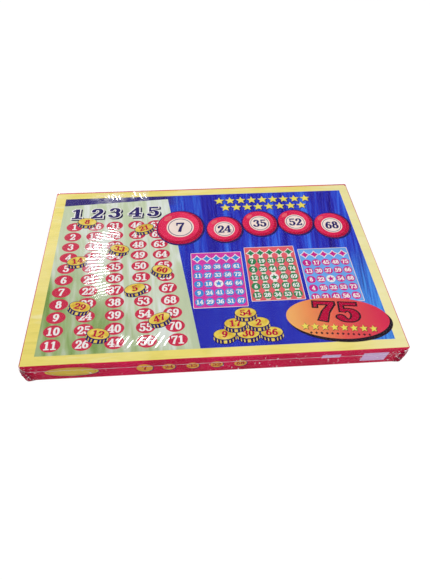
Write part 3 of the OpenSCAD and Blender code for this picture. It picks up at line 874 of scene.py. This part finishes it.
def leaflet_print():
    """A starred head over three numbered blocks of coloured patches."""
    cx, cy, w, h, top = plan("rules_leaflet")
    piece = Print("leaflet_print", top, "tray", "leaflet_paper")
    piece.plate("oval", 1, box_ring(cx, cy + h / 2 - 11, w - 12, 10, 2))
    for k in range(5):
        piece.plate("yellow", 2, star(cx + (k - 2) * 14, cy + h / 2 - 11, 3.4))
    for k in range(3):
        x, y = cx - w / 2 + 14, cy + h / 2 - 30 - 22 * k
        piece.plate("navy", 1, ellipse(x, y, 5.4, n=28))
        piece.number("white", 2, str(k + 1), x, y, 6.4)
        for i in range(5):
            for j in range(3):
                patch = box_ring(x + 16 + 12 * i, y + 6 - 6 * j, 10.4, 4.6, 0.6)
                piece.plate("sky" if (i + j + k) % 3 else "oval", 1, patch)
    piece.done()


# Token bag


def pouch():
    """A sewn cotton pouch on its side, full of tokens: seams on three sides, none on the left."""
    cx, cy, wide, deep, top = plan("token_bag")
    bottom = span("token_bag")[0][2]
    half_x, half_y, z0, tall = wide / 2 - 1, deep / 2 - 1, bottom + 0.15, top - bottom - 0.7
    # Share of the height at which the two sheets meet, and the tokens' pitch and radius
    seam, pitch, radius = 0.34, 20.8, 10.2
    rim_z = z0 + tall * seam - 0.6

    def drawn_in(u, v):
        """The sides pull in between the corners."""
        return (cx + half_x * u * (1 - 0.035 * (1 - v * v) * abs(u) ** 3),
                cy + half_y * v * (1 - 0.045 * (1 - u * u) * abs(v) ** 3))

    def tokens_under(x, y):
        """Tokens press through the cloth as low bumps, some plain to see and some hardly."""
        wx, wy = (at + 7 * noise.noise(Vector((x * 0.021, y * 0.021, seed)))
                  for at, seed in ((x - cx, 5.0), (y - cy, 8.0)))
        kx, ky = math.floor(wx / pitch + 0.5), math.floor(wy / pitch + 0.5)
        shown = 0.75 + 0.9 * noise.noise(Vector((kx * 1.37, ky * 2.11, 0.6)))
        return shown * max(0.0, 1 - (math.hypot(wx - kx * pitch, wy - ky * pitch) / radius) ** 5)

    def height(x, y, u, v, upper):
        """Height of the upper or the lower sheet; u and v run from -1 to 1 across the bag."""
        swell = (max(0.0, 1 - abs(u) ** 4.2) * max(0.0, 1 - abs(v) ** 4.2)) ** (1 / 3.2)
        edge = min(1 - abs(u), 1 - abs(v))
        p = Vector((x * 0.06, y * 0.06, 3.7 if upper else -3.7))
        if edge < 1e-6:
            return rim_z + 0.5 * noise.noise(p * 1.3)
        # The cloth is gathered along its seams
        pull = math.sin(math.atan2(v, u) * 34 + 3 * noise.noise(p * 2))
        pull *= math.exp(-((edge - 0.07) / 0.07) ** 2)
        if not upper:
            return max(z0 + tall * seam * (1 - swell) + 0.35 * pull, z0)
        crease = noise.ridged_multi_fractal(p, 0.9, 2.1, 4, 0.9, 1.9)
        inner = bounded((1 - abs(u)) * 3.2) * bounded((1 - abs(v)) * 2.6)
        z = z0 + tall * (seam + (1 - seam) * swell) - 1.9 + 1.1 * tokens_under(x, y) * inner
        z += 0.55 * noise.noise(p) - 0.55 * crease * (0.3 + inner * 0.3) + 0.7 * pull
        return min(z, z0 + tall)

    nu, nv = 116, 72
    grid = [(-1 + 2 * i / nu, -1 + 2 * j / nv) for j in range(nv + 1) for i in range(nu + 1)]
    row, count = nu + 1, len(grid)
    # Both sheets share the points of the rim
    rim = {n for n, (u, v) in enumerate(grid) if abs(u) == 1 or abs(v) == 1}
    verts = [(*drawn_in(u, v), height(*drawn_in(u, v), u, v, True)) for u, v in grid]
    under = {}
    for n, (u, v) in enumerate(grid):
        under[n] = n if n in rim else len(verts)
        if n not in rim:
            verts.append((*drawn_in(u, v), height(*drawn_in(u, v), u, v, False)))
    faces = []
    for n in range(count - row):
        if (n + 1) % row:
            faces.append((n, n + 1, n + row + 1, n + row))
            faces.append(tuple(under[k] for k in (n, n + row, n + row + 1, n + 1)))
    cloth = link("pouch_cloth", verts, faces, [COTTON], "tray", "bag_cloth", smooth=True)
    soften = cloth.modifiers.new("soften", "SMOOTH")
    soften.factor, soften.iterations = 0.5, 2
    smooth = cloth.modifiers.new("subdivide", "SUBSURF")
    smooth.levels = smooth.render_levels = 1
    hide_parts("token_bag")

    # Flat seam allowance round three sides, with a row of stitches
    runs = {n: [-0.94 + 1.88 * i / n for i in range(n + 1)] for n in (40, 26)}
    path = [(u, -1.0) for u in runs[40]] + [(1.0, v) for v in runs[26]] + [(-u, 1.0) for u in runs[40]]
    line = [Vector((*drawn_in(u, v), rim_z + 0.5 * noise.noise(Vector((u * 5, v * 5, 1.3)))))
            for u, v in path]
    seam_strip(line, cx, cy)
    stitches(line, cx, cy)


def frame_along(a, b, p, cx, cy):
    """The level way from a to b, and the way out from (cx, cy) across it at p."""
    t = (b - a).normalized()
    side = Vector((t.y, -t.x, 0))
    return t, -side if (p - Vector((cx, cy, p.z))).dot(side) < 0 else side


def seam_strip(line, cx, cy):
    """A flat ribbon just inside a line of points round (cx, cy)."""
    outer, inner, thick, rings = 0.5, -2.1, 0.9, []
    for k, p in enumerate(line):
        _, side = frame_along(line[max(k - 1, 0)], line[min(k + 1, len(line) - 1)], p, cx, cy)
        ripple = 0.25 * math.sin(k * 1.9)
        section = ((outer, thick / 2 + ripple), (inner, thick / 2 + 0.5), (inner, -thick / 2),
                   (outer, -thick / 2 + ripple))
        rings.append([(*(p + side * w).xy, p.z + h) for w, h in section])
    obj = link("pouch_seam", *loft([rings]), [COTTON], "tray", "bag_cloth")
    bevel = obj.modifiers.new("soft", "BEVEL")
    bevel.width, bevel.segments = 0.0003, 2


def stitches(line, cx, cy):
    """Short round stitches on the seam strip."""
    inset, above, pitch, rods = 1.3, Vector((0, 0, 0.78)), 2.2, []
    for a, b in zip(line, line[1:]):
        t, side = frame_along(a, b, a, cx, cy)
        steps = max(1, int((b - a).length / pitch))
        for i in range(steps):
            c = a.lerp(b, (i + 0.5) / steps) - side * inset + above
            rods.append([[c + t * s + side * u + Vector((0, 0, v)) for u, v in ellipse(0, 0, r, r * 0.9, 6)]
                         for s, r in ((-0.8, 0.16), (-0.5, 0.26), (0, 0.26), (0.5, 0.26), (0.8, 0.16))])
    link("pouch_stitches", *loft(rods), [THREAD], "tray", "bag_cloth", smooth=True)


# Shrink film


def lines(half, step=2.4, dense=None):
    """Grid lines from -half to half, closer at the ends and over a dense stretch with its own pitch."""
    ends = [0, 0.35, 0.75, 1.25, 2.2, 3.5]
    inner = half - ends[-1]
    cuts = [(-inner, dense[0], step), dense, (dense[1], inner, step)] if dense else [(-inner, inner, step)]
    mid = []
    for low, high, pitch in cuts:
        n = max(1, round((high - low) / pitch))
        mid += [low + (high - low) * i / n for i in range(n)]
    return [-half + e for e in ends] + mid[1:] + [half - e for e in reversed(ends)]


def ripples(x, y, cx, cy, rx, ry, lean, bend_by, pitch, size, rising):
    """A patch of short creases like the rungs of a ladder: each has its own length, place and height."""
    dx, dy = x - cx, y - cy
    if dx * dx + dy * dy > (rx + ry) ** 2:
        return 0.0
    along = dx * math.cos(lean) + dy * math.sin(lean)
    across = dy * math.cos(lean) - dx * math.sin(lean)
    # The rungs fan out, by bend_by for each mm of distance
    across += across * along * bend_by + 0.5 * noise.noise(Vector((along * 0.06, across * 0.05, cx)))
    k = math.floor(across / pitch)
    # Steep creases stand in a row from left to right, flat ones in a column
    steep = abs(lean) > 0.8
    middle = -across / math.tan(lean) if steep else across * math.tan(lean)
    middle += 0.5 * bend_by * across * across
    v = across / (rx * math.sin(lean)) if steep else across / (ry * math.cos(lean))
    short = min(rx, ry)
    shift = 0.7 * short * noise.noise(Vector((k * 2.31, cx * 0.1, 0.5)))
    reach = short * (0.75 + 0.5 * noise.noise(Vector((k * 1.73, cx * 0.1, 3.7))))
    u = (along - middle - shift) / reach
    if abs(u) >= 1 or abs(v) >= 1:
        return 0.0
    # A gentle flank and a steep one; the rising one takes its share of the pitch
    t = across / pitch - k
    crest = t / rising if t < rising else (1 - t) / (1 - rising)
    crest = 0.5 * crest + 0.5 * crest * crest * (3 - 2 * crest)
    rise = 0.95 + 0.24 * noise.noise(Vector((k * 3.19, cy * 0.1, 9.1)))
    return size * rise * crest * (1 - u ** 4) * (1 - v ** 4)


# Patches of creases on the cover: middle, half sizes, lean, fanning, pitch, height, rising flank's share
PATCHES = ((-134, 5, 16, 70, 0.0, 0.007, 5.0, 0.67, 0.57), (-78, -106, 38, 12, 1.0, 0.0, 6.2, 0.6, 0.34),
           (-121, 119, 15, 8, 1.95, 0.0, 4.6, 0.52, 0.47), (-88, 121, 11, 11, 1.95, 0.0, 5.2, 0.58, 0.62),
           (100, -126, 90, 7, 1.5, 0.0, 7.0, 0.12, 0.5))
# How far the bunched film stands off at each upright corner, in mm
BUNCHES = {(-1, -1): 3.4, (1, -1): 1.6, (-1, 1): 1.3, (1, 1): 1.3}


def wrinkle(x, y, z, top):
    """How far the film stands off here, in mm."""
    here = Vector((x, y, z))
    lift = 0.08 + 0.07 * noise.noise(here * 0.03 * 1.2) + 0.03 * noise.noise(here * 0.03 * 5)
    # Fans of pleats run in from the corners
    near = 0.0
    for (sx, sy), bunch in BUNCHES.items():
        dx, dy = sx * WIDTH / 2 - x, sy * DEPTH / 2 - y
        r = math.hypot(dx, dy)
        if r >= 75:
            continue
        a = math.atan2(abs(dy) + 1.5, abs(dx) + 1.5)
        fan = abs(math.sin(a * 9 + 2.5 * noise.noise(Vector((sx, sy, r * 0.02)))))
        near += (0.1 if top else 0.5) * (1 - fan) ** 2 * math.exp(-r / (15 if top else 24))
        if not top:
            near += 0.55 * math.exp(-r / 9) * abs(noise.noise(here * 0.33))
            fall = max(0.0, math.sin(math.pi * bounded((29.5 - z) / 42))) ** 0.8
            near += bunch * math.exp(-r * r / 90) * fall * (0.8 + 0.5 * noise.noise(here * 0.4))
    lift += near
    if top:
        return lift + sum(ripples(x, y, *patch) for patch in PATCHES)
    lengthwise = abs(abs(y) - DEPTH / 2) < 3
    pull = noise.noise(Vector(((x if lengthwise else y) * 0.22, 7.0 if lengthwise else 3.0, z * 0.03)))
    return lift + 0.3 * max(0.0, pull) + 0.1


def rounded(x, y, half_w, half_d, r):
    """A point of a square outline moved onto the outline with round corners, and the way out from it."""
    ix, iy = max(-half_w + r, min(half_w - r, x)), max(-half_d + r, min(half_d - r, y))
    d = Vector((x - ix, y - iy))
    if d.length < 1e-9:
        return Vector((x, y)), Vector((0, 0))
    d.normalize()
    return Vector((ix + r * d.x, iy + r * d.y)), d


def seam_height(x, y):
    """The weld wavers round the box."""
    return 20.9 + 0.5 * math.sin(x * 0.021 + 0.6) + 0.35 * math.sin(y * 0.03 + x * 0.012)


def grid_rim(nx, ny):
    """The outer points of a grid in order, each as its column and row."""
    return ([(i, 0) for i in range(nx - 1)] + [(nx - 1, j) for j in range(ny - 1)]
            + [(i, ny - 1) for i in range(nx - 1, 0, -1)] + [(0, j) for j in range(ny - 1, 0, -1)])


def film_piece(name, cap_z, up, z_of_rim, body, mat, rows):
    """Half of the film bag: a flat cap at cap_z whose sides run to the rim."""
    half_w, half_d, r_plan, inset = WIDTH / 2 + 0.3, DEPTH / 2 + 0.3, 2.1, 0.9 if up else 0.25
    # The grid is finer where the cap is creased
    xs = lines(half_w, 3.8, (-156, -46, 1.1)) if up else lines(half_w)
    ys = lines(half_d, 0.66, (-58, 70, 0.48)) if up else lines(half_d)
    nx, ny = len(xs), len(ys)
    verts, faces = [], []
    sign = 1 if up else -1

    def on_cap(x, y):
        """The cap lies inside the sides by the radius of the rounded edge."""
        return rounded(x * (1 - inset / half_w), y * (1 - inset / half_d), half_w - inset, half_d - inset,
                       r_plan - inset)[0]

    def add_face(*f):
        faces.append(f if up else f[::-1])

    for y in ys:
        for x in xs:
            p = on_cap(x, y)
            verts.append((p.x, p.y, cap_z + (wrinkle(p.x, p.y, cap_z, True) if up else 0.0)))
    for j in range(ny - 1):
        for i in range(nx - 1):
            n = j * nx + i
            add_face(n, n + 1, n + nx + 1, n + nx)
    ring = grid_rim(nx, ny)
    previous = [j * nx + i for i, j in ring]
    for level in range(3 + rows):
        current = []
        for i, j in ring:
            p, out = rounded(xs[i], ys[j], half_w, half_d, r_plan)
            if level < 3:
                # Round the cap's edge
                t = math.radians((30, 60, 90)[level])
                q = on_cap(xs[i], ys[j]).lerp(p, math.sin(t))
                z = cap_z - sign * inset * (1 - math.cos(t))
                off = wrinkle(q.x, q.y, z, True) if up else 0.05
                q = q + out * off * math.sin(t) * 0.7
                z += sign * off * math.cos(t)
            else:
                t = (level - 2) / rows
                z = lerp(cap_z - sign * inset, z_of_rim(p.x, p.y), t)
                off = wrinkle(p.x, p.y, z, False)
                # The film is drawn tight against the box at the weld
                off = off * 0.7 if off > 1 else lerp(off * 0.7, off * 0.55 + 0.05, t)
                q = p + out * off
            current.append(len(verts))
            verts.append((q.x, q.y, z))
        for k in range(len(ring)):
            m = (k + 1) % len(ring)
            add_face(previous[k], current[k], current[m], previous[m])
        previous = current
    obj = link(name, verts, faces, [mat], body, "shrink_film", smooth=True)
    if up:
        # Exact normals keep the creases unbroken where they cross the grid at a slant
        margin, small = 1.5, 0.1
        normals = [v.normal.copy() for v in obj.data.vertices]
        for n, (x, y, z) in enumerate(verts[:nx * ny]):
            if abs(x) < half_w - margin and abs(y) < half_d - margin:
                slope_x = (wrinkle(x + small, y, cap_z, True) + cap_z - z) / small
                slope_y = (wrinkle(x, y + small, cap_z, True) + cap_z - z) / small
                normals[n] = Vector((-slope_x, -slope_y, 1)).normalized()
        obj.data.normals_split_custom_set_from_vertices(normals)
    return obj


def bead():
    """The weld, as a thin uneven rod round the box."""
    half_w, half_d, radius, rings = WIDTH / 2 + 0.75, DEPTH / 2 + 0.75, 0.32, []
    xs, ys = lines(half_w, 3.2), lines(half_d, 3.2)
    for i, j in grid_rim(len(xs), len(ys)):
        p, out = rounded(xs[i], ys[j], half_w, half_d, 2.4)
        r = radius * (1 + 0.5 * noise.noise(Vector((p.x * 0.2, p.y * 0.2, 4))))
        z = seam_height(p.x, p.y) + 0.2
        rings.append([(*(p + out * u), z - v) for u, v in ellipse(0, 0, r * 0.75, r, 6)])
    link("film_weld_top", *loft([rings], loop=True), [weld()], "lid", "shrink_film", smooth=True)


def wrap_film():
    clear = film()
    upper = film_piece("film_top", TOP + 0.16, True, seam_height, "lid", clear, rows=6)
    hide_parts("film_upper")
    lower = film_piece("film_base", 0.03, False, lambda x, y: seam_height(x, y) - 0.5, "tray", clear, rows=9)
    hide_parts("film_lower")
    bead()


# Room

# Bright panes that show only as glints: name, place on the cover, lean and tilt of the film, size, power
PANES = (("pane_ladder", -129, -4, 0.0, 0.33, 0.3, 0.5, 9.0),
         ("pane_back", -105, 121, 1.95, 0.28, 0.22, 0.22, 2.8),
         ("pane_front", -76, -107, 1.0, -0.28, 0.22, 0.22, 2.2))


def area(name, place, aim, *size_and_power):
    data = bpy.data.lights.new(name, "AREA")
    data.shape = "RECTANGLE"
    data.size, data.size_y, data.energy = size_and_power
    obj = bpy.data.objects.new(name, data)
    obj.location = place
    obj.rotation_euler = (Vector(aim) - Vector(place)).to_track_quat("-Z", "Y").to_euler()
    scene.collection.objects.link(obj)
    return obj


def mirror_spot(x, y, away, lean=0.0, tilt=0.0):
    """Place and aim of a lamp that the camera sees at (x, y) mm, in film of this tilt across its creases."""
    p = Vector((x * MM, y * MM, TOP * MM))
    n = Vector((-math.sin(lean) * math.sin(tilt), math.cos(lean) * math.sin(tilt), math.cos(tilt)))
    return p + (p - eye).normalized().reflect(n) * away, p


def room():
    sky = Shader("room", bpy.data.worlds, "OutputWorld")
    scene.world = sky.mat
    light = sky.node("Background", Color=(0.97, 0.98, 1, 1), Strength=0.58)
    sky.finish(sky.blend(sky.seen(), light, sky.node("Background", Color=WHITE, Strength=1.03)))

    s = Shader("floor_pale")
    col = s.shade((0.86, 0.86, 0.86, 1), s.noise(30, 3), (0.3, 0.985), (0.7, 1.0))
    glow = s.node("Emission", Color=WHITE, Strength=1.05)
    s.finish(s.blend(s.seen() * 0.92, s.node("BsdfDiffuse", Color=col), glow))
    mesh = bpy.data.meshes.new("floor")
    around = ellipse(0, 0, 3.0, n=64)
    mesh.from_pydata([(x, y, -0.0002) for x, y in around], [], [range(len(around))])
    mesh.materials.append(s.mat)
    floor = bpy.data.objects.new("floor", mesh)
    scene.collection.objects.link(floor)

    # A broad soft box behind on the left, and narrow bright panes
    area("soft_box", *mirror_spot(-140, 60, 1.25), 0.7, 0.5, 4.8).visible_glossy = False
    for name, x, y, lean, tilt, *size_and_power in PANES:
        area(name, *mirror_spot(x, y, 1.1, lean, tilt), *size_and_power).visible_diffuse = False
    area("fill", (0.5, -0.9, 1.1), (0, 0, 0.02), 0.9, 0.7, 6.8)


COTTON, THREAD = cotton(), moulded("bag_thread", (226, 212, 190))
BOARD, TAPE, INSERT = greyboard(), tape(), white_card("insert_card")
PAINT = {"lid_board": BOARD, "tray_board": BOARD, "caller_board": BOARD, "lid_corner_stays": TAPE,
         "tray_corner_stays": TAPE, "lid_wrap": lid_paper(), "tray_wrap": INKS["crimson"],
         "shelf_card": INSERT, "well_liner": INSERT,
         "divider_bridge": white_card("divider_card", (232, 230, 226)),
         "caller_sheet": printed("sheet_green", (150, 172, 112), 0.08),
         "card_bands": white_card("band_paper", (244, 242, 236)),
         "number_tokens": moulded("token_gold", (224, 176, 66)),
         "rules_leaflet": white_card("leaflet_paper", (244, 242, 230)),
         "cards_magenta": cut_stack("stack_magenta", (238, 232, 228), (214, 92, 170)),
         "cards_red": cut_stack("stack_red", (238, 232, 226), (228, 104, 112)),
         "cards_blue": cut_stack("stack_blue", (234, 234, 232), (110, 164, 226))}
for node, mat in PAINT.items():
    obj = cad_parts[node]
    obj.data.materials.clear()
    obj.data.materials.append(mat)

for build in (background, number_table, tokens, balls, stars, painted_cards, oval_badge, front_print,
              stack_prints, caller_print, leaflet_print, pouch, wrap_film, room):
    build()
